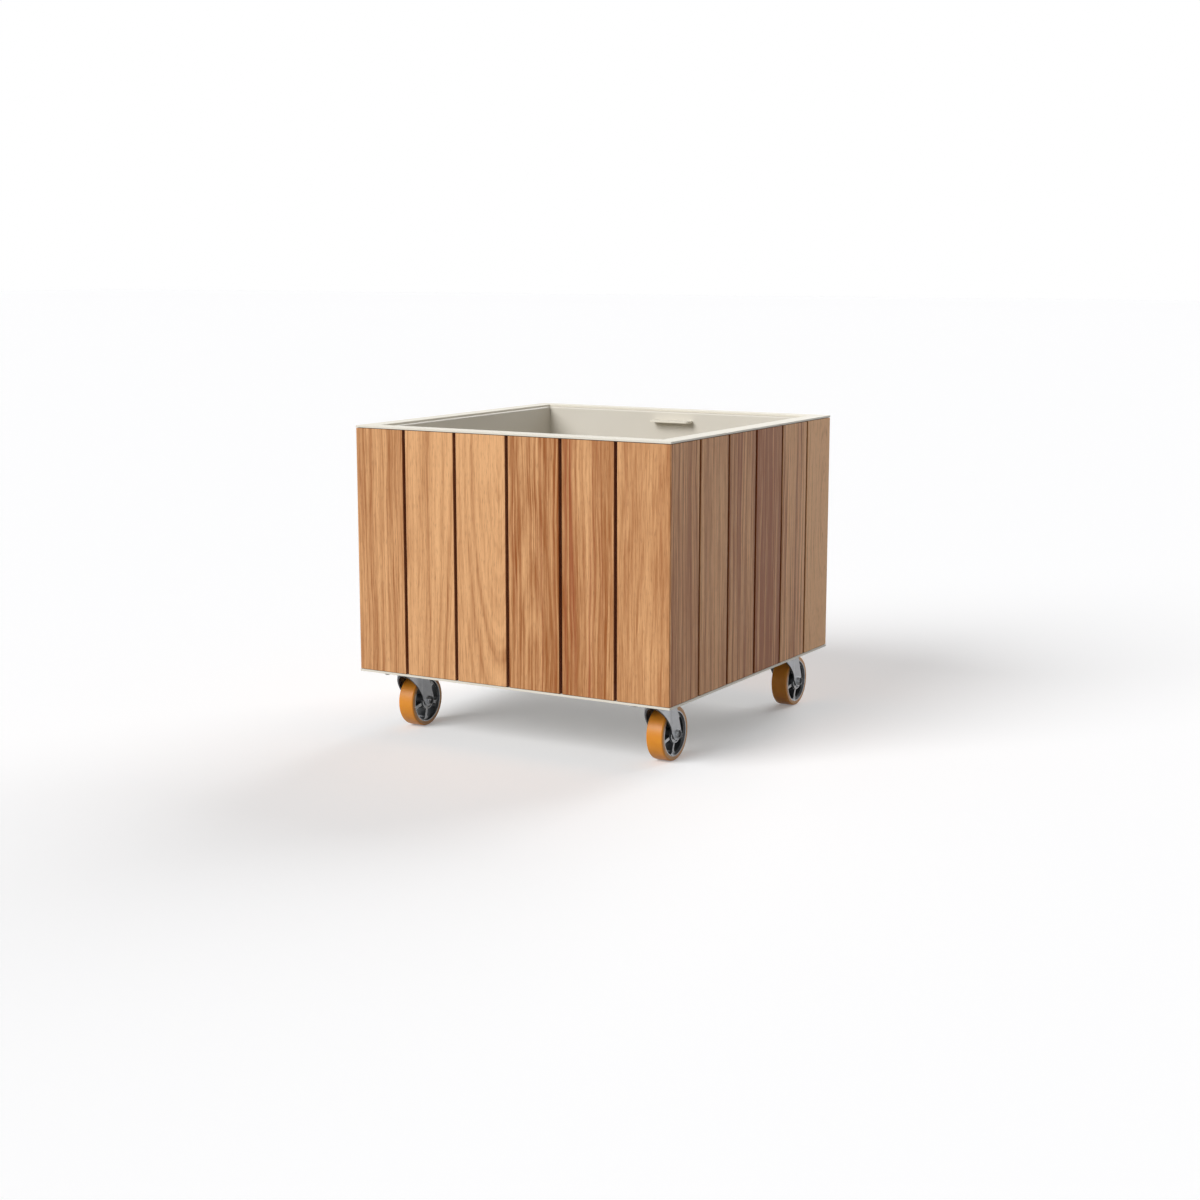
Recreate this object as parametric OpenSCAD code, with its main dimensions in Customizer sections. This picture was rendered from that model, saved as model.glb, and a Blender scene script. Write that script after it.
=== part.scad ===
// Rolling planter: a steel tank in a hardwood-clad frame, carried on four swivel casters.
// Millimetres, +Z up. The origin is on the ground under the middle of the square body.
// The front faces -Y, and +X is to the right of someone who looks at the front.

/* [Body] */
// Width of the planter from left to right
body_w = 1000; // [800:10:1400]
// Depth of the planter from front to back
body_d = 1000; // [800:10:1400]
// Height from the underside of the base plate to the top of the rim
body_h = 700; // [500:10:900]
// Thickness of the base plate
base_t = 6; // [4:1:10]
// Width of the flat rim
rim_w = 50; // [46:1:80]
// Thickness of the flat rim
rim_t = 6; // [3:1:10]

/* [Cladding] */
// Number of upright boards on each side
boards_per_side = 6; // [4:1:6]
// Thickness of a board
board_t = 24; // [20:1:28]
// Open gap between two boards
board_gap = 10; // [4:1:16]
// Shadow gap between a board's ends and the plates above and below it
shadow_gap = 1.5; // [0.5:0.5:4]
// Size of the eased long edges of a board
board_ease = 1.2; // [0.4:0.2:2.4]
// Setback of each mitred face from the corner's diagonal
mitre_gap = 0.3; // [0.1:0.1:1]
// Diameter of a board screw's shank
screw_d = 5; // [4:0.5:6]
// Depth that a board screw reaches into its board
screw_bite = 17; // [12:1:18]
// Distance of a screw from the board's long edge
screw_inset = 25; // [15:1:35]

/* [Frame] */
// Height of the upright leg of the two ring rails
rail_h = 40; // [30:1:60]
// Thickness of the ring rails
rail_t = 4; // [3:1:5]
// Leg length of the corner posts
post_leg = 40; // [30:1:50]
// Thickness of the corner posts
post_t = 4; // [3:1:6]
// Width of a channel under the tank
channel_w = 60; // [40:1:70]
// Height of a channel under the tank
channel_h = 30; // [20:1:60]
// Wall of a channel under the tank
channel_t = 4; // [3:1:6]

/* [Tank] */
// Sheet thickness of the tank
tank_t = 3; // [2:0.5:4]
// Outer radius of the folded edge that shows inside the rim
fold_r = 5; // [4.5:0.5:8]
// Diameter of the drain holes in the tank's floor
drain_d = 24; // [12:1:40]
// Distance of the drain holes from the body's outer faces
drain_inset = 250; // [200:5:290]
// Width of a lifting lug
lug_w = 135; // [80:5:200]
// Distance that a lifting lug reaches into the tank
lug_reach = 35; // [20:1:60]
// Thickness of a lifting lug
lug_t = 6; // [4:1:10]
// Depth of a lifting lug's top below the rim's top
lug_drop = 32; // [20:1:80]
// Corner radius of a lifting lug
lug_r = 12; // [4:1:18]

/* [Caster mounting] */
// Height of a caster from the ground to the top of its plate
caster_h = 178; // [174:1:200]
// Distance of the swivel axis from the body's left or right face
caster_inset_x = 93; // [85:1:105]
// Distance of the swivel axis from the body's front or back face
caster_inset_y = 110; // [100:1:125]
// Size of the caster plate from left to right
plate_w = 110; // [106:1:120]
// Size of the caster plate from front to back
plate_d = 140; // [130:1:150]
// Thickness of the caster plate
plate_t = 5; // [4:0.5:7]
// Bolt spacing from left to right
bolt_gap_x = 80; // [76:1:84]
// Bolt spacing from front to back
bolt_gap_y = 105; // [100:1:108]
// Diameter of the mounting bolts
bolt_d = 10; // [8:1:10]
// Length of a slot in the caster plate
slot_l = 15; // [13:1:18]

/* [Fork] */
// Distance that the wheel's axle trails behind the swivel axis
trail = 50; // [44:1:54]
// Sheet thickness of the fork
fork_t = 4; // [3:0.5:5]
// Clear width between the fork's legs
fork_gap = 57; // [56.5:0.5:64]
// Outer radius of the bend from the fork's crown into its legs
fork_bend_r = 9; // [6:0.5:10]
// Distance that the fork's round head stands out beyond its legs
head_flare = 4.5; // [3:0.5:8]
// Distance of the crown's back edge behind the swivel axis
crown_back = 41; // [38:1:43]
// Radius of the rounded end of a fork leg
leg_end_r = 22; // [20:1:25]
// Height of the rounded end's centre above the axle
leg_end_rise = 6; // [3:1:8]
// Distance of the rounded end's centre in front of the axle
leg_end_lead = 3; // [0:0.5:4]
// Diameter of the kingpin
kingpin_d = 14; // [10:1:18]
// Diameter of the balls in the swivel head
ball_d = 6; // [5:0.5:7]
// Number of balls in one swivel head
ball_count = 12; // [8:1:16]
// Radius of the ring of balls
race_r = 24; // [22:1:25]

/* [Wheel] */
// Diameter of the wheel over its tread
wheel_d = 150; // [140:1:154]
// Width of the wheel
wheel_w = 50; // [44:1:52]
// Thickness of the tread
tread_t = 12.5; // [8:0.5:16]
// Radius of the tread's shoulders
shoulder_r = 5; // [2:0.5:8]
// Diameter of the hub
hub_d = 52; // [48:1:56]
// Length of the hub
hub_l = 55; // [52:0.5:55.5]
// Number of spokes
spoke_count = 5; // [4:1:7]
// Width of a spoke between its fillets
spoke_w = 9; // [6:0.5:12]
// Radius of the fillets between a spoke and the wheel's rim
spoke_r = 9; // [4:0.5:10]
// Thickness of the wheel's rim under the tread
core_wall = 5.5; // [4:0.5:7]
// Width of the flat lip round each side of the core
core_lip = 3; // [1.5:0.5:3.5]
// Depth of a spoke's face below the side of the wheel
spoke_drop = 6; // [3:0.5:8]
// Outer diameter of a ball bearing
bearing_od = 35; // [30:1:40]
// Bore of a ball bearing
bearing_id = 15; // [15:0.5:17]
// Width of a ball bearing
bearing_w = 11; // [8:0.5:12]
// Diameter of the recess round each bearing
recess_d = 44; // [42:0.5:46]
// Depth of the recess round each bearing
recess_depth = 3; // [2:0.5:4]
// Diameter of the axle bolt
axle_d = 12; // [10:0.5:12]

/* [Hidden] */
$fn = 64;
// Clearances: a running fit, a loose hole round a bolt, and a gap between faces that pass
fit_run = 0.05;
fit_bolt = 0.5;
fit_face = 0.3;
// Extra length of a cutting shape beyond the faces that it cuts
over = 1;
// Steps in an arc that is drawn as points
arc_steps = 10;

SIDES = ["front", "right", "back", "left"];
CORNERS = [["front_left", -1, -1], ["front_right", 1, -1], ["back_left", -1, 1], ["back_right", 1, 1]];

// Levels
base_top = caster_h + base_t;
body_top = caster_h + body_h;
rim_under = body_top - rim_t;
floor_under = base_top + channel_h;
rail_top = rim_under - tank_t;
board_bottom = base_top + shadow_gap;
board_top = rim_under - shadow_gap;

// Distances inward from the outer face of the boards
tank_in = rim_w + fold_r;
tank_out = tank_in - tank_t;
rail_clear = 2;
rail_in = tank_out - rail_clear;
rail_back = board_t + rail_t;
lip_setback = 1;
lip_out = board_t + lip_setback;
channel_setback = 10;
drain_margin = 8;
post_end = rail_back + post_leg;

// The length of a side and the distance of its face from the middle
function side_l(k) = k % 2 == 0 ? body_w : body_d;
function side_off(k) = (k % 2 == 0 ? body_d : body_w) / 2;

// Boards and their screws, along a side
function board_w(k) = (side_l(k) - (boards_per_side - 1) * board_gap) / boards_per_side;
function board_x(k, i) = -side_l(k) / 2 + i * (board_w(k) + board_gap);
screw_head_d = 2 * screw_d;
screw_head_h = 3;
screw_to_post = 4;
post_clear = post_end + screw_head_d / 2 + screw_to_post;
function screw_lo(k, i) = i == 0 ? -side_l(k) / 2 + post_clear : board_x(k, i) + screw_inset;
function screw_hi(k, i) =
    i == boards_per_side - 1 ? side_l(k) / 2 - post_clear : board_x(k, i) + board_w(k) - screw_inset;
screw_levels = [base_top + rail_h / 2, rail_top - rail_h / 2];

// Casters
swivel_x = body_w / 2 - caster_inset_x;
swivel_y = body_d / 2 - caster_inset_y;
plate_under = caster_h - plate_t;
ball_r = ball_d / 2;
groove_depth = ball_r / 3;
groove_r = ball_r + 2 * fit_run;
ball_z = plate_under + groove_depth - ball_r;
crown_top = ball_z - ball_r + groove_depth;
crown_under = crown_top - fork_t;
plate_r = 10;
dust_in = race_r + ball_r + 1;
dust_t = 2;
cup_t = 4;
cup_r = 20;
pin_head_h = 3;
pin_head_r = kingpin_d / 2 + 5;
pin_head_bevel = 3;
axle_z = wheel_d / 2;
fork_half = fork_gap / 2 + fork_t;
head_r = fork_half + head_flare;
head_drop = 3;
hex_flats = 1.7;
hex_head = 0.64;
nut_h = 0.8 * bolt_d;
washer_t = 2;
bolt_proud = 1.5;
bolt_end = plate_under - washer_t - nut_h - bolt_proud;
bolt_head_r = hex_flats * bolt_d / 2 / cos(30);

// The lower rail's foot reaches inward up to the caster bolts' heads
head_clear = 3;
foot_in = min(caster_inset_x - bolt_gap_x / 2, caster_inset_y - bolt_gap_y / 2) - bolt_head_r - head_clear;

// Wheel
core_r = wheel_d / 2 - tread_t;
pocket_r = core_r - core_wall;
hub_r = hub_d / 2;
spoke_half = wheel_w / 2 - spoke_drop;
spoke_swell = 3;
pocket_land = 0.5;
hub_bevel = 1;
hub_bore_clear = 4;
bearing_face = hub_l / 2 - recess_depth;
shield_land = 3;
shield_depth = 0.6;
sleeve_r = bearing_id / 2 - fit_run;
collar_t = 3.5;
axle_head_r = 12.5;
axle_head_h = 6;
axle_cup_r = 8.5;
axle_cup_depth = 4;
axle_key = 8;
axle_nut_h = axle_d;
axle_proud = 2;

// Colours
WOOD = "#CD9664";
CREAM = "#E9E4D6";
ZINC = "#A3A5A8";
STEEL = "#8A8C8F";
CASTING = "#9B9DA0";
AMBER = "#DB943C";

// A rectangle with round corners, centred
module rounded_rect(w, d, r) {
    square([w - 2 * r, d], center = true);
    square([w, d - 2 * r], center = true);
    for (x = [-1, 1], y = [-1, 1])
        translate([x * (w / 2 - r), y * (d / 2 - r)]) circle(r);
}

// Points along an arc between two angles
function arc(centre, r, from, to) = [for (i = [0:arc_steps])
    let (a = from + (to - from) * i / arc_steps) centre + r * [cos(a), sin(a)]];

// A slot that runs along Y, centred
module slot(w, l) {
    square([w, l - w], center = true);
    for (s = [-1, 1]) translate([0, s * (l - w) / 2]) circle(d = w);
}

// Repeats its children at the four bolts of a caster plate
module at_bolts() {
    for (x = [-1, 1], y = [-1, 1])
        translate([x * bolt_gap_x / 2, y * bolt_gap_y / 2, 0]) children();
}

// Places its children at the swivel axis of one caster
module at_corner(c) {
    translate([c[1] * swivel_x, c[2] * swivel_y, 0]) children();
}

// Places its children on the wheel's axis, with their own Z along the axle
module on_axle() {
    translate([0, trail, axle_z]) rotate([0, 90, 0]) children();
}

// Sweeps a profile round the four sides with mitred corners. The profile's x is the
// distance inward from the outer face, and its y is the height.
module ring(depth) {
    for (k = [0:3]) rotate([0, 0, 90 * k]) intersection() {
        translate([-side_l(k) / 2, -side_off(k), 0]) rotate([90, 0, 90])
            linear_extrude(side_l(k)) children();
        linear_extrude(body_top + over) polygon([
            [-side_l(k) / 2, -side_off(k)], [side_l(k) / 2, -side_off(k)],
            [side_l(k) / 2 - depth, -side_off(k) + depth], [-side_l(k) / 2 + depth, -side_off(k) + depth]]);
    }
}

// An angle section in a ring profile: an upright leg from z0 to z1, and a leg that points inward
module angle_profile(z0, z1, foot, foot_z) {
    translate([board_t, z0]) square([rail_t, z1 - z0]);
    translate([board_t, foot_z]) square([foot, rail_t]);
}

// Repeats its children at every board screw, with their own Z pointing out through the board
// from the rail's inner face
module at_screws(levels) {
    for (k = [0:3], i = [0:boards_per_side - 1], x = [screw_lo(k, i), screw_hi(k, i)], z = levels)
        rotate([0, 0, 90 * k]) translate([x, -side_off(k) + rail_back, z])
            rotate([90, 0, 0]) children();
}

// ---- Body ----

// Folded sheet tank: walls that turn outward under the rim, and a drained floor
module tank() {
    color(CREAM) {
        ring(tank_in + over) {
            translate([tank_out, floor_under]) square([tank_t, rim_under - fold_r - floor_under]);
            translate([lip_out, rail_top]) square([rim_w - lip_out, tank_t]);
            translate([rim_w, rim_under - fold_r]) intersection() {
                difference() {
                    circle(fold_r);
                    circle(fold_r - tank_t);
                }
                square(fold_r);
            }
        }
        translate([0, 0, floor_under]) linear_extrude(tank_t) difference() {
            square([body_w - 2 * tank_out, body_d - 2 * tank_out], center = true);
            drain_holes(drain_d);
        }
    }
}

// Four drain holes, in plan
module drain_holes(d) {
    for (x = [-1, 1], y = [-1, 1])
        translate([x * (body_w / 2 - drain_inset), y * (body_d / 2 - drain_inset)]) circle(d = d);
}

// A flat lug welded to the middle of the front and back inner walls
module lifting_lugs() {
    color(CREAM) for (s = [-1, 1])
        translate([0, s * (body_d / 2 - tank_in), body_top - lug_drop - lug_t])
            linear_extrude(lug_t) intersection() {
                rounded_rect(lug_w, 2 * lug_reach, lug_r);
                translate([-lug_w / 2, s > 0 ? -lug_reach : 0]) square([lug_w, lug_reach]);
            }
}

// Flat rim that covers the boards and the tank's turned edge
module rim_frame() {
    color(CREAM) translate([0, 0, rim_under]) linear_extrude(rim_t) difference() {
        square([body_w, body_d], center = true);
        square([body_w - 2 * rim_w, body_d - 2 * rim_w], center = true);
    }
}

// Angle ring under the rim, which carries the tank's turned edge and the boards' top ends
module upper_rail() {
    color(ZINC) difference() {
        ring(rail_in + over)
            angle_profile(rail_top - rail_h, rail_top, rail_in - board_t, rail_top - rail_t);
        at_screws([screw_levels[1]]) translate([0, 0, -over])
            cylinder(d = screw_d + fit_bolt, h = rail_t + 2 * over);
    }
}

// Angle ring on the base plate, which carries the boards' bottom ends
module lower_rail() {
    color(ZINC) difference() {
        ring(rail_in + over) angle_profile(base_top, base_top + rail_h, foot_in - board_t, base_top);
        at_screws([screw_levels[0]]) translate([0, 0, -over])
            cylinder(d = screw_d + fit_bolt, h = rail_t + 2 * over);
    }
}

// Four angle posts that stand between the two ring rails
module corner_posts() {
    post_z = base_top + rail_t;
    color(ZINC) for (x = [-1, 1], y = [-1, 1])
        translate([x * (body_w / 2 - rail_back), y * (body_d / 2 - rail_back), post_z])
            mirror([x > 0 ? 1 : 0, 0, 0]) mirror([0, y > 0 ? 1 : 0, 0])
                linear_extrude(rail_top - rail_t - post_z) {
                    square([post_leg, post_t]);
                    square([post_t, post_leg]);
                }
}

// Base plate with holes for the caster bolts and for the drained water
module base_plate() {
    color(CREAM) translate([0, 0, caster_h]) linear_extrude(base_t) difference() {
        square([body_w, body_d], center = true);
        for (c = CORNERS) at_corner(c) at_bolts() circle(d = bolt_d + fit_bolt);
        drain_holes(drain_d + 2 * drain_margin);
    }
}

// Three channels on the base plate that the tank's floor lies on
module base_channels() {
    length = body_w - 2 * (rail_in + channel_setback);
    color(ZINC) for (y = [-swivel_y, 0, swivel_y])
        translate([-length / 2, y, base_top]) rotate([90, 0, 90]) linear_extrude(length) difference() {
            translate([-channel_w / 2, 0]) square([channel_w, channel_h]);
            translate([-channel_w / 2 + channel_t, -over])
                square([channel_w - 2 * channel_t, channel_h - channel_t + over]);
        }
}

// One upright board with eased edges. The first and last board of a side are mitred.
module board(k, i) {
    x0 = board_x(k, i);
    x1 = x0 + board_w(k);
    y0 = -side_off(k);
    e = board_ease;
    m = mitre_gap;
    first = i == 0;
    last = i == boards_per_side - 1;
    left = first ? [[x0 + m + board_t, y0 + board_t], [x0 + m + e, y0 + e], [x0 + m + 2 * e, y0]]
        : [[x0, y0 + board_t], [x0, y0 + e], [x0 + e, y0]];
    right = last ? [[x1 - m - 2 * e, y0], [x1 - m - e, y0 + e], [x1 - m - board_t, y0 + board_t]]
        : [[x1 - e, y0], [x1, y0 + e], [x1, y0 + board_t]];
    color(WOOD) rotate([0, 0, 90 * k]) difference() {
        translate([0, 0, board_bottom]) linear_extrude(board_top - board_bottom)
            polygon(concat(left, right));
        for (x = [screw_lo(k, i), screw_hi(k, i)], z = screw_levels)
            translate([x, y0 + board_t + over, z]) rotate([90, 0, 0])
                cylinder(d = screw_d + 2 * fit_run, h = screw_bite + fit_face + over);
    }
}

// Screws that hold the boards from behind, through the rails
module board_screws() {
    color(STEEL) at_screws(screw_levels) {
        translate([0, 0, -screw_head_h]) cylinder(d = screw_head_d, h = screw_head_h, $fn = 24);
        cylinder(d = screw_d, h = rail_t + screw_bite, $fn = 24);
    }
}

// ---- Caster, about its swivel axis ----

// Top plate with four slots, a ball groove and a dust ring
module caster_plate() {
    color(ZINC) difference() {
        union() {
            translate([0, 0, plate_under]) linear_extrude(plate_t)
                rounded_rect(plate_w, plate_d, plate_r);
            translate([0, 0, crown_top + 2 * fit_face])
                cylinder(r = dust_in + dust_t, h = plate_under - crown_top - 2 * fit_face);
        }
        translate([0, 0, crown_top - over])
            cylinder(r = dust_in, h = plate_under - crown_top + over);
        ball_groove();
        translate([0, 0, plate_under - over]) cylinder(d = kingpin_d, h = plate_t + 2 * over);
        translate([0, 0, plate_under - over]) linear_extrude(plate_t + 2 * over)
            at_bolts() slot(bolt_d + fit_bolt, slot_l);
    }
}

// The ring-shaped groove that the balls run in
module ball_groove() {
    translate([0, 0, ball_z]) rotate_extrude() translate([race_r, 0]) circle(groove_r, $fn = 32);
}

// The ring of balls between the plate and the fork's head
module balls() {
    for (a = [0:ball_count - 1])
        rotate([0, 0, a * 360 / ball_count]) translate([race_r, 0, ball_z]) sphere(ball_r, $fn = 24);
}

module swivel_balls() {
    color(STEEL) for (c = CORNERS) at_corner(c) balls();
}

// Kingpin with the lower race cup and its riveted head
module kingpin() {
    cup_top = crown_under - fit_face;
    pin_foot = cup_top - cup_t - pin_head_h;
    translate([0, 0, pin_foot]) cylinder(d = kingpin_d, h = caster_h - pin_foot);
    translate([0, 0, cup_top - cup_t]) cylinder(r = cup_r, h = cup_t);
    translate([0, 0, pin_foot])
        cylinder(r1 = pin_head_r - pin_head_bevel, r2 = pin_head_r, h = pin_head_h);
}

module kingpins() {
    color(STEEL) for (c = CORNERS) at_corner(c) kingpin();
}

// Hexagon across its flats, in plan
module hexagon(flats) {
    circle(d = flats / cos(30), $fn = 6);
}

// Bolts, washers and nuts that hold the four caster plates under the base plate
module caster_bolts() {
    flats = hex_flats * bolt_d;
    color(STEEL) for (c = CORNERS) at_corner(c) at_bolts() {
        translate([0, 0, base_top]) linear_extrude(hex_head * bolt_d) hexagon(flats);
        translate([0, 0, bolt_end]) cylinder(d = bolt_d, h = base_top - bolt_end + over, $fn = 32);
        translate([0, 0, plate_under - washer_t])
            cylinder(d = 2 * bolt_d, h = washer_t, $fn = 32);
        translate([0, 0, plate_under - washer_t - nut_h]) linear_extrude(nut_h) hexagon(flats);
    }
}

// A channel that opens downward, in section: its outer or its inner form
module fork_section(half, top, bend_r) {
    translate([-half + bend_r, -over]) square([2 * (half - bend_r), top + over]);
    translate([-half, -over]) square([2 * half, top - bend_r + over]);
    for (s = [-1, 1]) translate([s * (half - bend_r), top - bend_r]) circle(bend_r);
}

// One of those forms as a solid: a round cup about the swivel axis, and a narrower channel that
// runs back from it, so that the cup's skirt flares out from the sides along a crease
module fork_form(half, top, bend_r) {
    round_r = half + head_flare;
    length = trail + 2 * leg_end_r;
    rotate_extrude() intersection() {
        fork_section(round_r, top, bend_r);
        translate([0, -over]) square([round_r + over, top + 2 * over]);
    }
    translate([0, length, 0]) rotate([90, 0, 0]) linear_extrude(length) fork_section(half, top, bend_r);
}

// The point where a line from a point touches a circle, on the side s
function touch(point, centre, r, s) =
    let (way = centre - point, turn = atan2(way[1], way[0]) + s * asin(r / norm(way)))
    point + sqrt(way * way - r * r) * [cos(turn), sin(turn)];

// Side view of the fork: y behind the swivel axis, and height. Two straight edges run from the
// head to the rounded ends of the legs.
module fork_outline() {
    end = [trail - leg_end_lead, axle_z + leg_end_rise];
    skirt_end = crown_under - head_drop;
    front = [-head_r, skirt_end];
    back = [crown_back, skirt_end];
    polygon([front, touch(front, end, leg_end_r, -1), touch(back, end, leg_end_r, 1), back]);
    translate(end) circle(leg_end_r);
    translate([-head_r - over, skirt_end])
        square([head_r + over + crown_back, crown_top - skirt_end + over]);
}

// Pressed fork: a round head whose skirt runs down the sides into two flat legs
module fork() {
    color(ZINC) difference() {
        intersection() {
            difference() {
                fork_form(fork_half, crown_top, fork_bend_r);
                fork_form(fork_half - fork_t, crown_under, fork_bend_r - fork_t);
            }
            translate([-body_w / 2, 0, 0]) rotate([90, 0, 90]) linear_extrude(body_w) fork_outline();
        }
        ball_groove();
        cylinder(d = kingpin_d + 2 * fit_run, h = caster_h);
        on_axle() cylinder(d = axle_d + 2 * fit_run, h = body_w, center = true);
    }
}

// Axle bolt with a cupped head and a nut, and the spacer sleeve that the bearings run on
module axle() {
    half = fork_gap / 2;
    collar_from = bearing_face + fit_face;
    color(STEEL) on_axle() {
        difference() {
            union() {
                translate([0, 0, fork_half]) cylinder(r = axle_head_r, h = axle_head_h);
                translate([0, 0, -fork_half - axle_nut_h - axle_proud])
                    cylinder(d = axle_d, h = 2 * fork_half + axle_nut_h + axle_proud + over);
            }
            translate([0, 0, fork_half + axle_head_h - axle_cup_depth])
                cylinder(r = axle_cup_r, h = axle_cup_depth + over);
            translate([0, 0, fork_half - over]) linear_extrude(axle_head_h) hexagon(axle_key);
        }
        translate([0, 0, -fork_half - axle_nut_h]) linear_extrude(axle_nut_h) difference() {
            hexagon(1.5 * axle_d);
            circle(d = axle_d + 2 * fit_run);
        }
        difference() {
            union() {
                cylinder(r = sleeve_r, h = fork_gap, center = true);
                for (s = [0, 1]) mirror([0, 0, s]) translate([0, 0, collar_from])
                    cylinder(r = sleeve_r + collar_t, h = half - collar_from);
            }
            cylinder(d = axle_d + 2 * fit_run, h = fork_gap + over, center = true);
        }
    }
}

// ---- Wheel, about the axle ----

// One pocket between two spokes, with round corners at the rim
module spoke_pocket() {
    step = 360 / spoke_count;
    side = spoke_w / 2;
    centre_r = pocket_r - spoke_r;
    turn = asin((side + spoke_r) / centre_r);
    rim_step = (step - 2 * turn) / arc_steps;
    difference() {
        polygon(concat(
            [side / sin(step / 2) * [cos(step / 2), sin(step / 2)]],
            arc(centre_r * [cos(turn), sin(turn)], spoke_r, -90, turn),
            arc([0, 0], pocket_r, turn + rim_step, step - turn - rim_step),
            arc(centre_r * [cos(step - turn), sin(step - turn)], spoke_r, step - turn, step + 90)));
        circle(hub_r + pocket_land);
    }
}

// Half of the core's profile, from the middle of the hub out to the rim: radius, and height
// above the wheel's middle. The spokes swell towards the hub and are flat where their fillets are.
function core_profile(s) = [[0, s * hub_l / 2], [hub_r - hub_bevel, s * hub_l / 2],
    [hub_r, s * (hub_l / 2 - hub_bevel)], [hub_r, s * (spoke_half + spoke_swell)],
    [pocket_r - spoke_r - spoke_w / 2, s * spoke_half], [pocket_r + pocket_land, s * spoke_half],
    [core_r - core_lip, s * wheel_w / 2], [core_r, s * wheel_w / 2]];

// Cast core: hub, spokes and rim, with a seat for a bearing at each end
module core() {
    seat = bearing_face - bearing_w;
    upper = core_profile(1);
    lower = core_profile(-1);
    last = len(lower) - 1;
    color(CASTING) on_axle() difference() {
        rotate_extrude() polygon(concat(upper, [for (i = [0:last]) lower[last - i]]));
        linear_extrude(wheel_w, center = true)
            for (i = [0:spoke_count - 1]) rotate(i * 360 / spoke_count) spoke_pocket();
        cylinder(r = sleeve_r + hub_bore_clear, h = hub_l + over, center = true);
        for (s = [0, 1]) mirror([0, 0, s]) {
            translate([0, 0, seat]) cylinder(d = bearing_od, h = hub_l);
            translate([0, 0, bearing_face]) cylinder(d = recess_d, h = hub_l);
        }
    }
}

// Elastic tread bonded on the core, smooth with round shoulders
module tread() {
    r = wheel_d / 2;
    flat = wheel_w - 2 * shoulder_r;
    color(AMBER) on_axle() rotate_extrude($fn = 128) difference() {
        union() {
            translate([0, -flat / 2]) square([r, flat]);
            translate([0, -wheel_w / 2]) square([r - shoulder_r, wheel_w]);
            for (s = [-1, 1]) translate([r - shoulder_r, s * flat / 2]) circle(shoulder_r, $fn = 32);
        }
        translate([-over, -wheel_w]) square([core_r + over, 2 * wheel_w]);
    }
}

// Two sealed ball bearings, with a shallow shield in each face
module bearings() {
    shield_in = bearing_id / 2 + shield_land;
    shield_out = bearing_od / 2 - shield_land;
    color(STEEL) on_axle() for (s = [0, 1]) mirror([0, 0, s])
        translate([0, 0, bearing_face - bearing_w]) rotate_extrude() difference() {
            translate([bearing_id / 2, 0]) square([(bearing_od - bearing_id) / 2, bearing_w]);
            translate([shield_in, bearing_w - shield_depth]) square([shield_out - shield_in, over]);
            translate([shield_in, shield_depth - over]) square([shield_out - shield_in, over]);
        }
}

tank();
lifting_lugs();
rim_frame();
upper_rail();
lower_rail();
corner_posts();
base_plate();
base_channels();
board_screws();
caster_bolts();
kingpins();
swivel_balls();
for (k = [0:3], i = [0:boards_per_side - 1])
    board(k, i);
for (c = CORNERS) {
    at_corner(c) caster_plate();
    at_corner(c) fork();
    at_corner(c) axle();
    at_corner(c) core();
    at_corner(c) tread();
    at_corner(c) bearings();
}
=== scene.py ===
# %% [markdown]
# # A rolling planter, part by part
# The real object is a folded steel tank in a frame, clad in upright hardwood boards, on four swivel
# casters. Its construction comes from a imported CAD model, which fixes every size and place. This
# lesson gives it its looks. The first cell loads the model, and a helper reads the box of any of
# its parts. Small sizes are written in millimetres, and MM turns them into metres.

# %% Load the frame
import math
import bmesh
import bpy
from mathutils import Matrix, Vector


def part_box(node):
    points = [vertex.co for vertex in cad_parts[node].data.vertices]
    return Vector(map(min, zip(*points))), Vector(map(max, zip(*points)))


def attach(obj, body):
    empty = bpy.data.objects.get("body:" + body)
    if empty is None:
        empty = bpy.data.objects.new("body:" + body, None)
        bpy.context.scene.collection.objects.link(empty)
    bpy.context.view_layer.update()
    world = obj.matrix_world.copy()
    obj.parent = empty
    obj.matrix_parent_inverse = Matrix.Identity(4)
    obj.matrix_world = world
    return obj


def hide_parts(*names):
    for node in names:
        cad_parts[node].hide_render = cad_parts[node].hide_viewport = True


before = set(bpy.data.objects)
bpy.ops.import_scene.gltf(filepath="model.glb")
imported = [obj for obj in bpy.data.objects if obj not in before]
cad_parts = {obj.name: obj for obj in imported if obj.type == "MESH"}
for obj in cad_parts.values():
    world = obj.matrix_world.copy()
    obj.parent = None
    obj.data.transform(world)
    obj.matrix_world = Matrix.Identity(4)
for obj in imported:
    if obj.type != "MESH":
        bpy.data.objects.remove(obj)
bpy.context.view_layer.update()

MM = 0.001
CORNERS = ("front_left", "front_right", "back_left", "back_right")
SIDES = ("front", "right", "back", "left")

# %% [markdown]
# ## Small helpers
# A colour is easiest to read as the hex code that a paint chart gives, but Blender works in linear
# light, so one function turns the first into the second. A second function adds any node with its
# settings and its links, which keeps a material's recipe down to a few lines. The camera and the
# lamps are both placed by compass and height, so a third function turns those into a direction.

# %% Colours, nodes and directions
def linear(code):
    """An sRGB hex colour in the linear values that Blender works in."""
    parts = [int(code[i:i + 2], 16) / 255 for i in (1, 3, 5)]
    return [c / 12.92 if c <= 0.04045 else ((c + 0.055) / 1.055) ** 2.4 for c in parts] + [1.0]


def add(tree, kind, inputs=None, **settings):
    """Adds a node. An input is given by name or number, and takes a value, a node or a socket."""
    node = tree.nodes.new(kind)
    for name, value in settings.items():
        setattr(node, name, value)
    for key, value in (inputs or {}).items():
        socket = node.inputs[key] if isinstance(key, int) else next(
            s for s in node.inputs if s.enabled and s.name == key)
        if isinstance(value, bpy.types.Node):
            value = next(s for s in value.outputs if s.enabled)
        if isinstance(value, bpy.types.NodeSocket):
            tree.links.new(value, socket)
        else:
            socket.default_value = value
    return node


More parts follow.
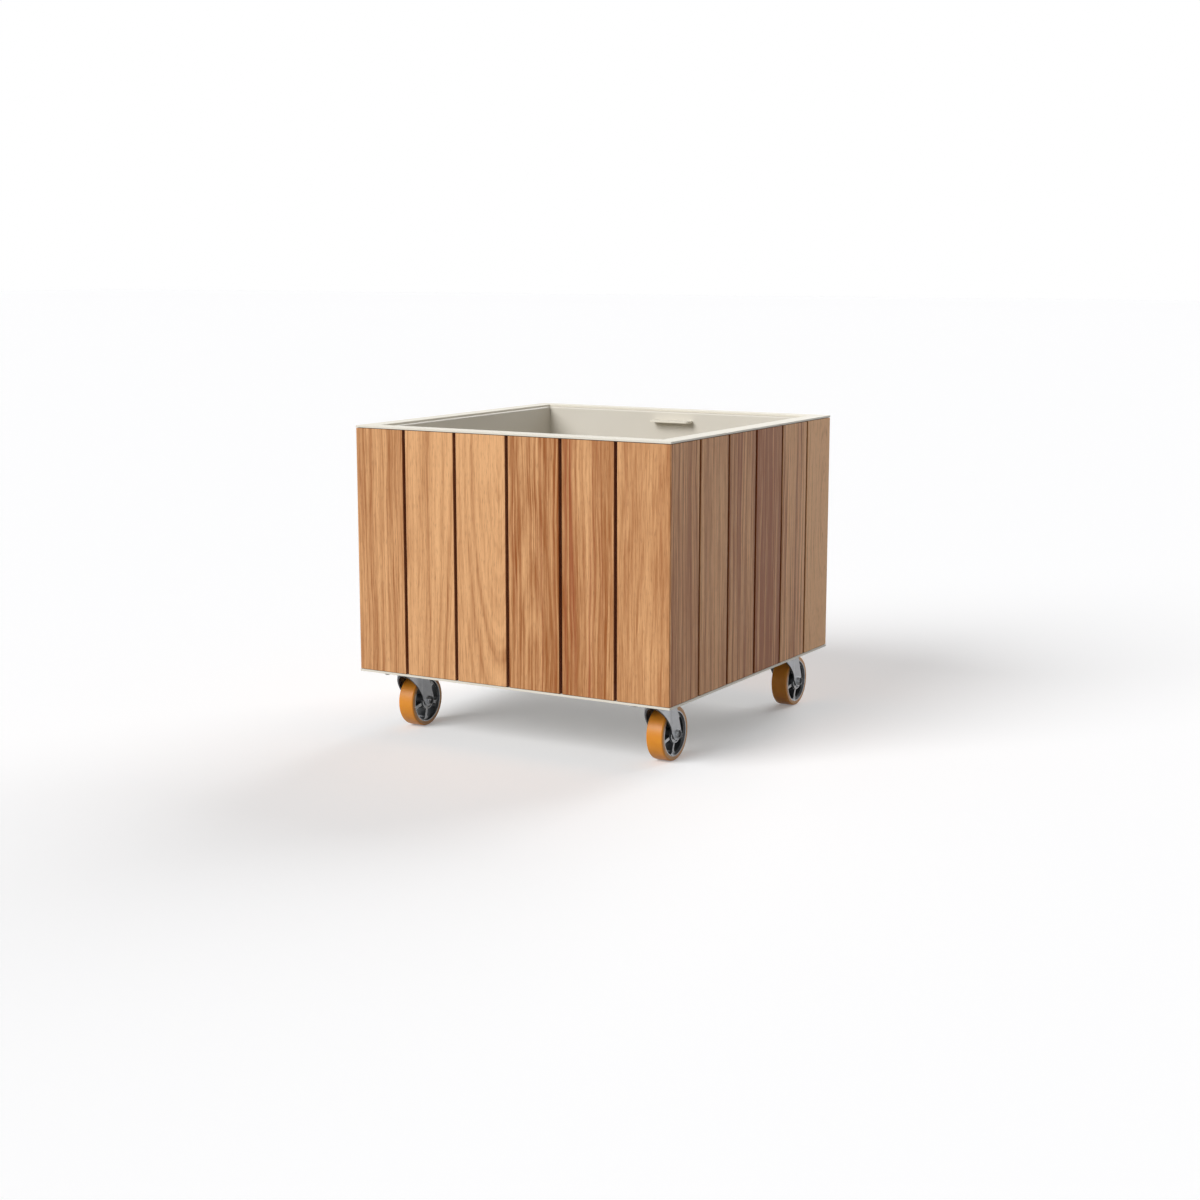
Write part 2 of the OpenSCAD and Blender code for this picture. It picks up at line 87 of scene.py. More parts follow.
def new_material(name):
    """An empty node material, with its tree and its output node."""
    material = bpy.data.materials.new(name)
    material.use_nodes = True
    material.node_tree.nodes.clear()
    return material, material.node_tree, add(material.node_tree, "ShaderNodeOutputMaterial")


def direction(azimuth, elevation):
    """The way to a place in the sky, from degrees round from the front and above the horizon."""
    a, e = math.radians(azimuth), math.radians(elevation)
    return Vector((math.sin(a) * math.cos(e), -math.cos(a) * math.cos(e), math.sin(e)))


WHITE = linear("#FFFFFF")
print("mid grey as linear light:", [round(c, 3) for c in linear("#808080")])

# %% [markdown]
# ## Camera
# The viewpoint is a product photographer's: a 59 mm lens, about 30 degrees to the right of the
# front and 10 degrees above. It could be set by eye, but the angles, the distance and the aim point
# were solved from the corners of the box, so they are written as values, and the position follows.

# %% Camera
LENS = 58.9
AZIMUTH, ELEVATION, DISTANCE = 30.28, 9.87, 5.5
AIM = Vector((0.123, -0.213, 0.394))

away = direction(AZIMUTH, ELEVATION)
camera = bpy.data.objects.new("camera", bpy.data.cameras.new("camera"))
camera.data.lens = LENS
camera.location = AIM + away * DISTANCE
camera.rotation_mode = "QUATERNION"
camera.rotation_quaternion = (-away).to_track_quat("-Z", "Y")
bpy.context.scene.collection.objects.link(camera)
bpy.context.scene.camera = camera
print("camera at", [round(c, 3) for c in camera.location])

# %% [markdown]
# ## Studio light
# The photograph has a white sweep, one broad light from the front left, a faint one from above, and
# a low one from behind that throws a long faint shadow forward. Lamps of a finite size would darken
# the floor far away, so sun lamps with wide discs are used: their light is even, and a wide disc
# gives a soft shadow. The world fills the shade a little, and is plain white for the camera and for
# mirror-like surfaces, as in a white studio.

# %% World and suns
FILL = 0.14
SUNS = {"key": {"azimuth": -21, "elevation": 32, "softness": 36, "strength": 2.58},
        "top": {"azimuth": 30, "elevation": 80, "softness": 110, "strength": 0.2},
        "back": {"azimuth": 175, "elevation": 27, "softness": 44, "strength": 2.0}}


def direct_ray(tree):
    """1 for a ray from the camera, a mirror or glass, and 0 for light on a dull surface."""
    path = add(tree, "ShaderNodeLightPath").outputs
    either = add(tree, "ShaderNodeMath", {0: path["Is Camera Ray"], 1: path["Is Glossy Ray"]},
                 operation="MAXIMUM")
    return add(tree, "ShaderNodeMath", {0: either, 1: path["Is Transmission Ray"]},
               operation="MAXIMUM").outputs[0]


def sun(name, azimuth, elevation, softness, strength):
    """A sun lamp. Azimuth 0 shines from the front, and its disc is softness degrees wide."""
    lamp = bpy.data.objects.new(name, bpy.data.lights.new(name, "SUN"))
    lamp.rotation_euler = direction(azimuth, elevation).to_track_quat("Z", "Y").to_euler()
    lamp.data.angle = math.radians(softness)
    lamp.data.energy = strength
    bpy.context.scene.collection.objects.link(lamp)


world = bpy.data.worlds.new("studio")
bpy.context.scene.world = world
world.use_nodes = True
tree = world.node_tree
tree.nodes.clear()
amount = add(tree, "ShaderNodeMapRange", {"Value": direct_ray(tree), "To Min": FILL})
background = add(tree, "ShaderNodeBackground", {"Color": WHITE, "Strength": amount})
add(tree, "ShaderNodeOutputWorld", {"Surface": background})
for name, values in SUNS.items():
    sun(name, **values)
bpy.context.scene.view_settings.view_transform = "Standard"
print("fill", FILL, "and suns", {name: values["strength"] for name, values in SUNS.items()})

# %% [markdown]
# ## Floor
# The sweep is white paper. To the camera and to mirrors it is near white with a faint glow, so that
# it meets the white world without an edge and still takes the shadow. To the light that it throws
# back at the object it is a duller grey, because a real sweep lies partly in the shade of the set.

# %% Floor
FLOOR_HALF = 60.0
FLOOR_GAIN = 0.2
PAPER_SEEN, PAPER_THROWN = "#EDEDEE", "#A8A8AA"

paper, tree, output = new_material("matt_paper_sweep")
lit = add(tree, "ShaderNodeBsdfDiffuse", {"Color": linear(PAPER_SEEN)})
glow = add(tree, "ShaderNodeEmission", {"Color": WHITE, "Strength": FLOOR_GAIN})
shown = add(tree, "ShaderNodeAddShader", {0: lit, 1: glow})
shade = add(tree, "ShaderNodeBsdfDiffuse", {"Color": linear(PAPER_THROWN)})
mixed = add(tree, "ShaderNodeMixShader", {0: direct_ray(tree), 1: shade, 2: shown})
tree.links.new(mixed.outputs[0], output.inputs["Surface"])

mesh = bpy.data.meshes.new("floor")
mesh.from_pydata([(x * FLOOR_HALF, y * FLOOR_HALF, 0)
                  for x, y in ((-1, -1), (1, -1), (1, 1), (-1, 1))], [], [(0, 1, 2, 3)])
floor = bpy.data.objects.new("floor", mesh)
floor.data.materials.append(paper)
bpy.context.scene.collection.objects.link(floor)
print("floor:", 2 * FLOOR_HALF, "m square")

# %% [markdown]
# ## Hardwood: where a point lies in its board
# The boards are oiled tropical hardwood, planed and eased at their edges. A flat picture of grain
# would repeat on each board and smear on its edges, so the material is solid: it knows where a
# point lies in its own board. Each board carries four attributes: the place in it, where its tree's
# middle (the pith) lay, its look (shade, red, seed) and its grain (stripes, arches).

# %% Board coordinates
wood, tree, output = new_material("oiled_hardwood")
told = {}
for name in ("place", "pith", "look", "grain"):
    attribute = add(tree, "ShaderNodeAttribute", attribute_name="board_" + name)
    told[name] = add(tree, "ShaderNodeSeparateXYZ", {0: attribute.outputs["Vector"]}).outputs
    if name == "place":
        place = attribute.outputs["Vector"]
seed = told["look"]["Z"]
print("board attributes:", list(told))

# %% [markdown]
# ## Hardwood: noise at the wood's own sizes
# Wood is noise drawn out along the board. Each pattern has a period across the board and one along
# it, in millimetres. The first bends the others, as the trunk's own crooks do. Real pores are 0.2
# mm wide, too fine to show from here, so they are drawn 2.6 mm wide. A noise runs from 0 to 1, and
# nearly all of it lies between the ends named here.

# %% Grain patterns
PATTERNS = {
    # across, along, detail, roughness
    "crook": (85, 420, 1.5, 0.5), "stripe": (11, 1500, 3.0, 0.7), "fibre": (4, 110, 2.0, 0.6),
    "pore": (2.6, 24, 1.0, 0.5), "tone": (55, 700, 1.0, 0.5), "streak": (8, 1300, 2.0, 0.6),
    "ripple": (18, 70, 2.0, 0.5)}
PATTERN_SHIFT = 7.7
CROOK = 26
NOISE_MEAN = 0.5
NOISE_ENDS = {"From Min": 0.3, "From Max": 0.7}

noise = {}
for i, (name, (across, along, detail, roughness)) in enumerate(PATTERNS.items()):
    per_metre = [1 / (period * MM) for period in (across, across, along)]
    cells = add(tree, "ShaderNodeVectorMath", {0: place, 1: per_metre}, operation="MULTIPLY")
    shift = add(tree, "ShaderNodeCombineXYZ", {"X": seed, "Y": PATTERN_SHIFT * i, "Z": seed})
    moved = add(tree, "ShaderNodeVectorMath", {0: cells, 1: shift}, operation="ADD")
    noise[name] = add(tree, "ShaderNodeTexNoise", {"Vector": moved, "Scale": 1.0,
                      "Detail": detail, "Roughness": roughness}).outputs["Fac"]
    if name == "crook":
        bend = add(tree, "ShaderNodeMapRange", {"Value": noise[name], "To Min": -CROOK * MM / 2,
                   "To Max": CROOK * MM / 2})
        bend = add(tree, "ShaderNodeCombineXYZ", {"X": bend})
        place = add(tree, "ShaderNodeVectorMath", {0: place, 1: bend}, operation="ADD").outputs[0]
print("patterns:", len(noise), "of", PATTERNS["pore"][0], "to", PATTERNS["crook"][0], "mm across")

# %% [markdown]
# ## Hardwood: growth rings
# A board is a slice through rings round the pith. The distance from the pith gives the ring, so a
# pith far to the side draws straight stripes, and one just behind the face draws pointed arches.
# The ripple roughens the rings, and a one-dimensional noise makes each year unlike the next.

# %% Growth rings
RING = 9.0
RIPPLE = 5.0
RING_NOISE = {"Scale": 0.8, "Detail": 2.0, "Roughness": 0.55}

bent = add(tree, "ShaderNodeSeparateXYZ", {0: place}).outputs
pith = told["pith"]
across = add(tree, "ShaderNodeMath", {0: bent["X"], 1: pith["X"]}, operation="SUBTRACT")
lean = add(tree, "ShaderNodeMath", {0: bent["Z"], 1: pith["Z"], 2: pith["Y"]},
           operation="MULTIPLY_ADD")
deep = add(tree, "ShaderNodeMath", {0: bent["Y"], 1: lean}, operation="ADD")
deep = add(tree, "ShaderNodeMath", {0: noise["ripple"], 1: RIPPLE * MM, 2: deep},
           operation="MULTIPLY_ADD")
flat = add(tree, "ShaderNodeCombineXYZ", {"X": across, "Y": deep})
radius = add(tree, "ShaderNodeVectorMath", {0: flat}, operation="LENGTH").outputs["Value"]
years = add(tree, "ShaderNodeMath", {0: radius, 1: 1 / (RING * MM), 2: seed},
            operation="MULTIPLY_ADD")
ring = add(tree, "ShaderNodeTexNoise", {"W": years, **RING_NOISE},
           noise_dimensions="1D").outputs["Fac"]
print("rings:", RING, "mm apart")

# %% [markdown]
# ## Hardwood: colour
# Each pattern darkens or lightens the wood by a little, and a board's own attributes say how much
# of each it has. The sum runs from a light to a dark brown, with soft ends, because a hard clamp
# would leave flat patches. Three layers lie over it: red streaks, dark pores, and painted shade on
# the boards' sides behind their eased edges. That dark brown stands for the shade in the gaps, so
# that the gaps read as even dark lines.

# %% How dark the wood is
SHARES = {"stripe": 1.7, "fibre": 1.1, "tone": 0.9, "ring": 2.0}
SUM_ENDS = {"From Min": -0.65, "From Max": 0.85}

stripes, rings = (add(tree, "ShaderNodeMath", {0: told["grain"][axis], 1: SHARES[pattern]},
                      operation="MULTIPLY") for axis, pattern in (("X", "stripe"), ("Y", "ring")))
dark = told["look"]["X"]
for pattern, share in ((noise["stripe"], stripes), (noise["fibre"], SHARES["fibre"]),
                       (noise["tone"], SHARES["tone"]), (ring, rings)):
    centred = add(tree, "ShaderNodeMath", {0: pattern, 1: NOISE_MEAN}, operation="SUBTRACT")
    dark = add(tree, "ShaderNodeMath", {0: centred, 1: share, 2: dark}, operation="MULTIPLY_ADD")
dark = add(tree, "ShaderNodeMapRange", {"Value": dark, **SUM_ENDS},
           interpolation_type="SMOOTHSTEP")
print("shares of the patterns:", SHARES)

# %% Wood colour
WOOD_LIGHT, WOOD_DARK = "#F0B881", "#95500F"
WOOD_RED, WOOD_PORE, GAP_SIDE_SHADE = "#963F10", "#7E4A22", "#8A4418"
EASE = 1.2
STREAK_ENDS = {"From Min": 0.50, "From Max": 0.68}
REGION_ENDS = {"From Min": 0.34, "From Max": 0.54}
PORE_ENDS = {"From Min": 0.54, "From Max": 0.72, "To Max": 0.3}
GAP_SHADE_ENDS = {"From Min": EASE * MM, "From Max": 3 * EASE * MM, "To Max": 0.75}

streaks = add(tree, "ShaderNodeMapRange", {"Value": noise["streak"], **STREAK_ENDS})
region = add(tree, "ShaderNodeMapRange", {"Value": noise["tone"], **REGION_ENDS})
red = add(tree, "ShaderNodeMath", {0: streaks, 1: region}, operation="MULTIPLY")
red = add(tree, "ShaderNodeMath", {0: red, 1: told["look"]["Y"]}, operation="MULTIPLY",
          use_clamp=True)
pores = add(tree, "ShaderNodeMapRange", {"Value": noise["pore"], **PORE_ENDS})
# painted shade: the boards' sides behind the eased edges are darkened, for the shade in the gaps
gap_shade = add(tree, "ShaderNodeMapRange", {"Value": told["place"]["Y"], **GAP_SHADE_ENDS})
colour = linear(WOOD_LIGHT)
for layer, code in ((dark, WOOD_DARK), (red, WOOD_RED), (pores, WOOD_PORE), (gap_shade, GAP_SIDE_SHADE)):
    colour = add(tree, "ShaderNodeMix", {"Factor": layer, "A": colour, "B": linear(code)},
                 data_type="RGBA").outputs[2]
print("hardwood from", WOOD_LIGHT, "to", WOOD_DARK)

# %% [markdown]
# ## Hardwood: surface
# Oil leaves a satin surface under a thin film. A varnish would be glossier, so the film is kept
# weak. The surface is a little rougher in the fibres, which stand up by a quarter of a millimetre
# at most, and give a faint sheen where the board is seen at a slant.

# %% Wood surface
PORE_SINK = -0.6
RELIEF = 0.25
SATIN = {**NOISE_ENDS, "To Min": 0.46, "To Max": 0.60}
OIL = {"IOR": 1.45, "Specular IOR Level": 0.25, "Coat Weight": 0.2, "Coat Roughness": 0.4,
       "Sheen Weight": 0.12}

height = add(tree, "ShaderNodeMath", {0: noise["pore"], 1: PORE_SINK, 2: noise["fibre"]},
             operation="MULTIPLY_ADD")
bump = add(tree, "ShaderNodeBump", {"Height": height, "Strength": 0.35, "Distance": RELIEF * MM})
satin = add(tree, "ShaderNodeMapRange", {"Value": noise["fibre"], **SATIN})
shader = add(tree, "ShaderNodeBsdfPrincipled", {"Base Color": colour, "Normal": bump,
             "Roughness": satin, **OIL})
tree.links.new(shader.outputs[0], output.inputs["Surface"])
print("hardwood:", len(tree.nodes), "nodes")

# %% [markdown]
# ## How a tree begins and ends
# A Geometry Nodes tree is a rule that makes a shape from a few inputs. Three are used here: for
# boards, rings of balls and fasteners. Each begins with typed inputs, and ends by making its copies
# real and giving them a material, so those two steps are written once.

# %% Tree helpers
def new_tree(name, inputs):
    """A Geometry Nodes tree with typed inputs and one output, and its input sockets."""
    tree = bpy.data.node_groups.new(name, "GeometryNodeTree")
    for label, kind in inputs.items():
        tree.interface.new_socket(name=label, in_out="INPUT", socket_type="NodeSocket" + kind)
    tree.interface.new_socket(name="Geometry", in_out="OUTPUT",
                              socket_type="NodeSocketGeometry")
    return tree, add(tree, "NodeGroupInput").outputs


def join(tree, *parts):
    """The node that joins the first outputs of some nodes."""
    joined = add(tree, "GeometryNodeJoinGeometry")
    for part in parts:
        tree.links.new(part.outputs[0], joined.inputs[0])
    return joined


def end_tree(tree, shape, material):
    """The tree, with its copies made real, given a material and sent to its output."""
    real = add(tree, "GeometryNodeRealizeInstances", {"Geometry": shape})
    painted = add(tree, "GeometryNodeSetMaterial", {"Geometry": real, "Material": material})
    add(tree, "NodeGroupOutput", {"Geometry": painted})
    print(tree.name, "tree:", len(tree.nodes), "nodes")
    return tree


# %% [markdown]
# ## Boards: one rule for all
# Each side has six upright boards with open gaps, and the end boards are mitred so that no end
# grain shows at the corners. Every board follows one rule, so one tree makes them all: it draws the
# plan outline, rounds its corners, fills it and pulls it up, and stores each point's place in the
# board before the board goes to its side of the planter. Its sizes come from the CAD boards.

# %% Board tree: outline
EASE_STEPS = 4

tree, given = new_tree("board", {
    "Width": "Float", "Height": "Float", "Thickness": "Float", "Ease": "Float",
    "Left mitre": "Float", "Right mitre": "Float", "Pith": "Vector", "Look": "Vector",
    "Grain": "Vector"})
half = add(tree, "ShaderNodeMath", {0: given["Width"], 1: 0.5}, operation="MULTIPLY")
left = add(tree, "ShaderNodeMath", {0: half, 1: -1.0}, operation="MULTIPLY")
back_left = add(tree, "ShaderNodeMath", {0: left, 1: given["Left mitre"]}, operation="ADD")
back_right = add(tree, "ShaderNodeMath", {0: half, 1: given["Right mitre"]},
                 operation="SUBTRACT")
corners = [add(tree, "ShaderNodeCombineXYZ", {"X": x, "Y": y}) for x, y in (
    (left, 0.0), (half, 0.0), (back_right, given["Thickness"]), (back_left, given["Thickness"]))]
outline = add(tree, "GeometryNodeCurvePrimitiveQuadrilateral",
              {f"Point {i + 1}": corner for i, corner in enumerate(corners)}, mode="POINTS")
rounded = add(tree, "GeometryNodeFilletCurve", {"Curve": outline, "Count": EASE_STEPS,
              "Radius": given["Ease"], "Limit Radius": True}, mode="POLY")
print("board outline:", len(corners), "corners of", EASE_STEPS, "steps")

# %% Board tree: height and attributes
BOARD_WELD = 0.01

foot = add(tree, "GeometryNodeFillCurve", {"Curve": rounded}, mode="NGONS")
lift = add(tree, "ShaderNodeCombineXYZ", {"Z": given["Height"]})
pulled = add(tree, "GeometryNodeExtrudeMesh", {"Mesh": foot, "Offset": lift,
             "Individual": False}, mode="FACES")
under = add(tree, "GeometryNodeFlipFaces", {"Mesh": foot})
board = add(tree, "GeometryNodeMergeByDistance", {"Geometry": join(tree, pulled, under),
            "Distance": BOARD_WELD * MM})
for name, value in (("place", add(tree, "GeometryNodeInputPosition")),
                    ("pith", given["Pith"]), ("look", given["Look"]), ("grain", given["Grain"])):
    board = add(tree, "GeometryNodeStoreNamedAttribute", {"Geometry": board,
                "Name": "board_" + name, "Value": value}, data_type="FLOAT_VECTOR",
                domain="POINT")
board_tree = end_tree(tree, board, wood)

# %% [markdown]
# ## Running a tree
# A modifier runs a tree on a host mesh. Its sizes are set by the sockets' identifiers, because two
# sockets may share a name. The result is then read back as a plain mesh, which keeps nothing live.

# %% Growing a piece
def show(name, mesh):
    """A new object in the scene, at the origin."""
    piece = bpy.data.objects.new(name, mesh)
    bpy.context.scene.collection.objects.link(piece)
    return piece


def grown(name, tree, host=None, **sizes):
    """Runs a tree with the given sizes and returns what it grew as a plain mesh object."""
    source = show(name + "_source", host or bpy.data.meshes.new(name + "_source"))
    modifier = source.modifiers.new("tree", "NODES")
    modifier.node_group = tree
    for item in tree.interface.items_tree:
        size = item.name.replace(" ", "_").lower()
        if item.in_out == "INPUT" and size in sizes:
            modifier[item.identifier] = sizes[size]
    graph = bpy.context.evaluated_depsgraph_get()
    mesh = bpy.data.meshes.new_from_object(source.evaluated_get(graph), depsgraph=graph)
    source.modifiers.remove(modifier)
    bpy.data.objects.remove(source)
    mesh.name = name
    return show(name, mesh)


# %% [markdown]
# ## Finishing a piece
# A machined or pressed edge is never perfectly sharp: it carries a thin line of light. A narrow
# bevel on the sharp edges gives that line. Flat faces that meet a round edge need weighted normals,
# or the light on them bends. These steps are the same for every piece, so one function does them,
# fixes the piece to its body and hides the CAD node that it stands for.

# %% Finish
SHARP = math.radians(30)
EDGE_STEPS = 2
FLAT_WEIGHT = 90


def finish(piece, body, replaces, edge=0.0):
    """Rounds a piece's sharp edges by some millimetres, smooths it and fixes it to a CAD body."""
    piece.data.shade_smooth()
    piece.data.set_sharp_from_angle(angle=SHARP)
    if edge:
        bevel = piece.modifiers.new("edge", "BEVEL")
        bevel.width = edge * MM
        bevel.segments = EDGE_STEPS
        bevel.limit_method = "ANGLE"
        bevel.angle_limit = SHARP
        bevel.harden_normals = True
    weighted = piece.modifiers.new("weighted", "WEIGHTED_NORMAL")
    weighted.keep_sharp = True
    weighted.weight = FLAT_WEIGHT
    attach(piece, body)
    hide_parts(*replaces)


# %% [markdown]
# ## The boards' looks
# No two boards of a real planter match. Each one here has a pith (millimetres across and deep, and
# how far the pith leans in a metre), a shade from light to dark, a share of red streaks, and how
# strongly its stripes and its arches show. The values were chosen for the front and the right
# side, and the other two sides take them in another order.

# %% Looks
BOARDS = 6
LOOKS = (
    # across, deep, lean, shade, red, stripes, arches
    # the front's six boards
    (-260, 40, 30, 0.03, 0.15, 1.1, 0.3), (150, 60, 60, -0.24, 0.05, 0.5, 0.5),
    (60, 95, -150, -0.28, 0.05, 0.45, 0.45), (-5, 20, 95, 0.27, 0.35, 1.6, 0.25),
    (-90, 60, 25, 0.24, 1.00, 1.2, 0.3), (70, 140, 60, 0.00, 0.20, 0.35, 0.2),
    # the right side's six
    (130, 60, -40, 0.17, 0.10, 1.9, 0.4), (-140, 90, 30, 0.05, 0.10, 1.4, 0.4),
    (120, 70, 20, 0.33, 0.10, 1.8, 0.4), (-70, 50, 25, 0.62, 0.60, 2.4, 0.4),
    (-200, 45, 20, 0.28, 0.35, 3.2, 0.4), (40, 80, -190, -0.70, 0.00, 1.8, 0.8))
ORDER = {"front": range(BOARDS), "right": range(BOARDS, 2 * BOARDS),
         "back": (5, 3, 0, 1, 4, 2), "left": (4, 2, 7, 0, 5, 3)}
SEED_STEP = 3.7
print("looks:", len(LOOKS))

# %% [markdown]
# ## Placing the boards
# A board is grown at the origin, so that its grain is measured from the middle of its own foot.
# Then it is moved into place on the front, and turned with the front to its own side. The end
# boards' outlines reach a little past the CAD corner, because the rounding takes off their sharp
# tips.

# %% Boards
def side_turn(k):
    """The turn that takes the front's boards to side k."""
    return Matrix.Rotation(math.radians(90 * k), 4, "Z")


for k, side in enumerate(SIDES):
    for i in range(BOARDS):
        node = f"board_{side}_{i + 1}"
        ends = [side_turn(k).inverted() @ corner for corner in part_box(node)]
        low = Vector([min(a, b) for a, b in zip(*ends)])
        high = Vector([max(a, b) for a, b in zip(*ends)])
        first, last = i == 0, i == BOARDS - 1
        left = low.x - (EASE * MM if first else 0)
        right = high.x + (EASE * MM if last else 0)
        across, deep, lean, shade, red, stripes, arches = LOOKS[ORDER[side][i]]
        thick = high.y - low.y
        piece = grown(node + "_wood", board_tree, width=right - left, height=high.z - low.z,
                      thickness=thick, ease=EASE * MM, left_mitre=thick * first,
                      right_mitre=thick * last, pith=(across * MM, deep * MM, lean * MM),
                      look=(shade, red, SEED_STEP * (BOARDS * k + i)),
                      grain=(stripes, arches, 0.0))
        place = Matrix.Translation(((left + right) / 2, low.y, low.z))
        piece.data.transform(side_turn(k) @ place)
        finish(piece, "planter", [node])
print("boards:", len(SIDES) * BOARDS, "of", round((right - left) / MM), "x",
      round(thick / MM), "mm")

# %% [markdown]
# ## Powder coat
# The rim, the tank, the lugs and the base plate are steel with a cream powder coat. The powder
# melts into a satin plastic skin with a fine orange peel. Real orange peel has bumps about 1 mm
# wide, and they are drawn 3 mm wide to show. The coat is a little thicker and duller in places.
# The deep tank's coat is a shade darker than the plates round it, which is painted shade for the
# inside of the deep tank.

# %% Cream powder coat
PEEL, CLOUD = 3, 180
PEEL_RELIEF = 0.1
COAT_GLOSS = {**NOISE_ENDS, "To Min": 0.40, "To Max": 0.50}
PLASTIC_IOR = 1.5


def powder_coat(name, thin, thick):
    """A satin powder coat between two tints."""
    material, tree, output = new_material(name)
    place = add(tree, "ShaderNodeTexCoord").outputs["Object"]
    peel, cloud = (add(tree, "ShaderNodeTexNoise", {"Vector": place, "Scale": 1 / (size * MM),
                       "Detail": detail}).outputs["Fac"] for size, detail in
                   ((PEEL, 1.0), (CLOUD, 2.0)))
    tint = add(tree, "ShaderNodeMix", {"Factor": cloud, "A": linear(thin), "B": linear(thick)},
               data_type="RGBA")
    gloss = add(tree, "ShaderNodeMapRange", {"Value": cloud, **COAT_GLOSS})
    bump = add(tree, "ShaderNodeBump", {"Height": peel, "Strength": 0.25,
               "Distance": PEEL_RELIEF * MM})
    shader = add(tree, "ShaderNodeBsdfPrincipled", {"Base Color": tint.outputs[2],
                 "Normal": bump, "Roughness": gloss, "IOR": PLASTIC_IOR})
    tree.links.new(shader.outputs[0], output.inputs["Surface"])
    return material


cream = powder_coat("cream_powder_coat", "#E6E0D1", "#EDE8DB")
# painted shade: the tank's tints are darker, for the shade inside the deep tank
shaded_tank_cream = powder_coat("cream_tank_coat", "#D6D0C4", "#DFDACF")
print("powder coats:", cream.name, "and", shaded_tank_cream.name)

# %% [markdown]
# ## Metals
# Several metals show here, and they differ in colour, in gloss and in the mark of their making.
# Zinc plating is bright over the faint lines of the pressed sheet. Hot-dip galvanising grows dull
# crystals some 10 mm wide. The casting is smooth from tumbling, with a soft unevenness, but the
# tumbling stones don't reach into its pockets, which stay rougher. The pockets are also darker,
# which is painted shade for the shade that fills them. Bearing rings are ground round their axis,
# and bolts are plated. A fork's sheared edges and the cup in an axle bolt's head are darker too,
# which is painted shade. All share one recipe: a broad pattern that tints the colour and moves the
# gloss, and a fine one that lifts the surface.

# %% Metal recipe
GRAIN_STRENGTH = 0.3


def metal(name, dull, bright, gloss, broad, fine, relief, crystals=False):
    """A metal between two colours and two roughnesses. Patterns and relief are millimetres."""
    material, tree, output = new_material(name)
    place = add(tree, "ShaderNodeTexCoord").outputs["Object"]
    kind = "ShaderNodeTexVoronoi" if crystals else "ShaderNodeTexNoise"
    patch = add(tree, kind, {"Vector": place, "Scale": 1 / (broad * MM)})
    if crystals:
        patch = add(tree, "ShaderNodeSeparateColor", {0: patch.outputs["Color"]})
    patch = patch.outputs[0]
    grain = add(tree, "ShaderNodeTexNoise", {"Vector": place, "Scale": 1 / (fine * MM),
                "Detail": 2.0})
    tint = add(tree, "ShaderNodeMix", {"Factor": patch, "A": linear(dull), "B": linear(bright)},
               data_type="RGBA")
    rough = add(tree, "ShaderNodeMapRange", {"Value": patch, **NOISE_ENDS, "To Min": gloss[1],
                "To Max": gloss[0]})
    bump = add(tree, "ShaderNodeBump", {"Height": grain, "Strength": GRAIN_STRENGTH,
               "Distance": relief * MM})
    shader = add(tree, "ShaderNodeBsdfPrincipled", {"Base Color": tint.outputs[2],
                 "Metallic": 1.0, "Roughness": rough, "Normal": bump})
    tree.links.new(shader.outputs[0], output.inputs["Surface"])
    return material


# dull and bright colour, roughness, broad and fine pattern, relief
# darker and rougher cast metal for the core's pockets: the darkness is painted shade
pocket_shade_cast = metal("as_cast_aluminium", "#56585A", "#6A6C6E", (0.34, 0.46), 9, 2.4, 0.10)
# a darker steel, painted shade for a fork's cut edges and the cup in an axle bolt's head
painted_shade_steel = metal("sheared_steel_edge", "#58595B", "#6A6B6D", (0.40, 0.55), 6, 1.0, 0.05)
zinc = metal("zinc_plated_pressed_steel", "#9C9EA2", "#AEB0B3", (0.28, 0.40), 14, 1.6, 0.05)
galvanised = metal("hot_dip_galvanised_steel", "#9A9EA2", "#B4B8BB", (0.42, 0.58), 10, 2.0, 0.05,
                   crystals=True)
casting = metal("tumbled_cast_aluminium", "#A0A2A4", "#B6B8BA", (0.20, 0.32), 11, 2.4, 0.10)
bearing = metal("ground_bearing_steel", "#B4B6B8", "#C6C8CA", (0.16, 0.24), 6, 0.8, 0.02)
plated = metal("plated_bolt_steel", "#B0B2B4", "#C8CACB", (0.22, 0.34), 5, 1.0, 0.03)
print("metals:", [m.name for m in (zinc, painted_shade_steel, galvanised, casting, pocket_shade_cast, bearing, plated)])

# %% [markdown]
# ## Polyurethane
# The treads are amber polyurethane, cast round the core and turned true. It is a hard, waxy
# plastic: light goes a few millimetres into it, which softens its shade. It has a slight cloudiness
# and light scuffs. Its sides, which face along the axle, are mixed to a paler tint.

# %% Polyurethane
AMBER_DEEP, AMBER_CLEAR, AMBER_SIDE_TINT = "#DE8A18", "#EA982A", "#D9AE84"
SIDE_TINT_ENDS = {"From Min": 0.9, "From Max": 1.0, "To Max": 0.7}
SCUFF_GLOSS = {"From Min": 0.35, "From Max": 0.65, "To Min": 0.34, "To Max": 0.50}
AMBER_CLOUD, SCUFF = 30, 2.5
SCUFF_RELIEF = 0.1
WAX = {"Subsurface Weight": 0.2, "Subsurface Scale": 4 * MM, "Subsurface Radius": (1.0, 0.5, 0.2)}

